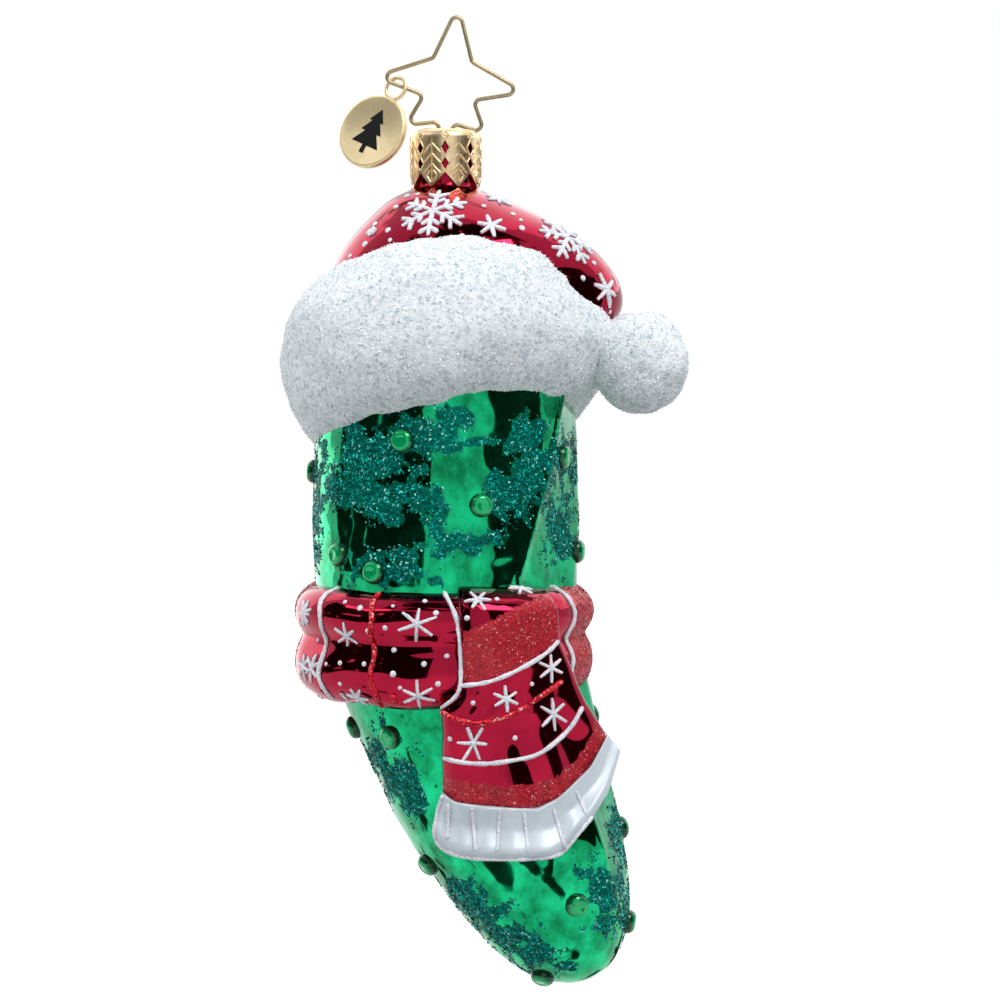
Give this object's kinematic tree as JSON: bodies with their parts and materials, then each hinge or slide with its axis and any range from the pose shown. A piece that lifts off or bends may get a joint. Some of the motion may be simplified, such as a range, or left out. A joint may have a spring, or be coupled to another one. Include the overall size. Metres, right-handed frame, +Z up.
{
  "type": "pickle ornament",
  "caption": "Hanging blown-glass pickle in a fur-trimmed hat and a scarf, with a stamped cap, a wire star hanger and a dangling tag.",
  "frame": {"origin": "the hang point, on the underside of the wire at the top bend of the star", "axes": "+Z up along the hanging ornament, +X to the right and +Y to the back as the front is seen"},
  "size_m": [0.0684, 0.0549, 0.1618],
  "materials": {
    "aged_brass_wire": "dull drawn wire",
    "satin_gold_tag": "satin plated",
    "stamped_gold_cap": "bright stamped sheet",
    "red_mirrored_glass": "silvered inside, clear red lacquer outside",
    "white_crushed_glass": "coated with crushed glass grains",
    "green_mirrored_glass": "silvered inside, clear green lacquer and teal glitter outside",
    "pearl_white_glass": "pearl lacquer",
    "green_gem_glass": "polished cabochon"
  },
  "bodies": {
    "hanger": {"hanger_wire": "aged_brass_wire"},
    "tag": {"hang_tag": "satin_gold_tag"},
    "cap": {"cap_crown": "stamped_gold_cap"},
    "glass": {"hat_glass": "red_mirrored_glass", "hat_brim": "white_crushed_glass", "hat_pompom": "white_crushed_glass", "pickle_glass": "green_mirrored_glass", "scarf_wrap": "red_mirrored_glass", "scarf_tail": "red_mirrored_glass", "scarf_fringe": "pearl_white_glass", "wart_gem_01": "green_gem_glass", "wart_gem_02": "green_gem_glass", "wart_gem_03": "green_gem_glass", "wart_gem_04": "green_gem_glass", "wart_gem_05": "green_gem_glass", "wart_gem_06": "green_gem_glass", "wart_gem_07": "green_gem_glass", "wart_gem_08": "green_gem_glass", "wart_gem_09": "green_gem_glass", "wart_gem_10": "green_gem_glass", "wart_gem_11": "green_gem_glass", "wart_gem_12": "green_gem_glass", "wart_gem_13": "green_gem_glass", "wart_gem_14": "green_gem_glass", "wart_gem_15": "green_gem_glass", "wart_gem_16": "green_gem_glass", "wart_gem_17": "green_gem_glass", "wart_gem_18": "green_gem_glass", "wart_gem_19": "green_gem_glass", "wart_gem_20": "green_gem_glass", "wart_gem_21": "green_gem_glass", "wart_gem_22": "green_gem_glass", "wart_gem_23": "green_gem_glass", "wart_gem_24": "green_gem_glass", "wart_gem_25": "green_gem_glass", "wart_gem_26": "green_gem_glass", "wart_gem_27": "green_gem_glass", "wart_gem_28": "green_gem_glass", "wart_gem_29": "green_gem_glass"}
  },
  "joints": [
    {"name": "hanger_swing", "type": "hinge", "parent": "hanger", "child": "cap", "pos_m": [-0.00188, 0, -0.01756], "axis": [0.9945, 0, -0.1045], "range_deg": [-12, 12]},
    {"name": "tag_swing", "type": "hinge", "parent": "hanger", "child": "tag", "pos_m": [-0.00981, 0, -0.01073], "axis": [0.8846, 0, -0.4664], "range_deg": [-60, 60]},
    {"name": "cap_pull", "type": "slide", "parent": "cap", "child": "glass", "axis": [0, 0, -1], "range_m": [0, 0.02]}
  ]
}
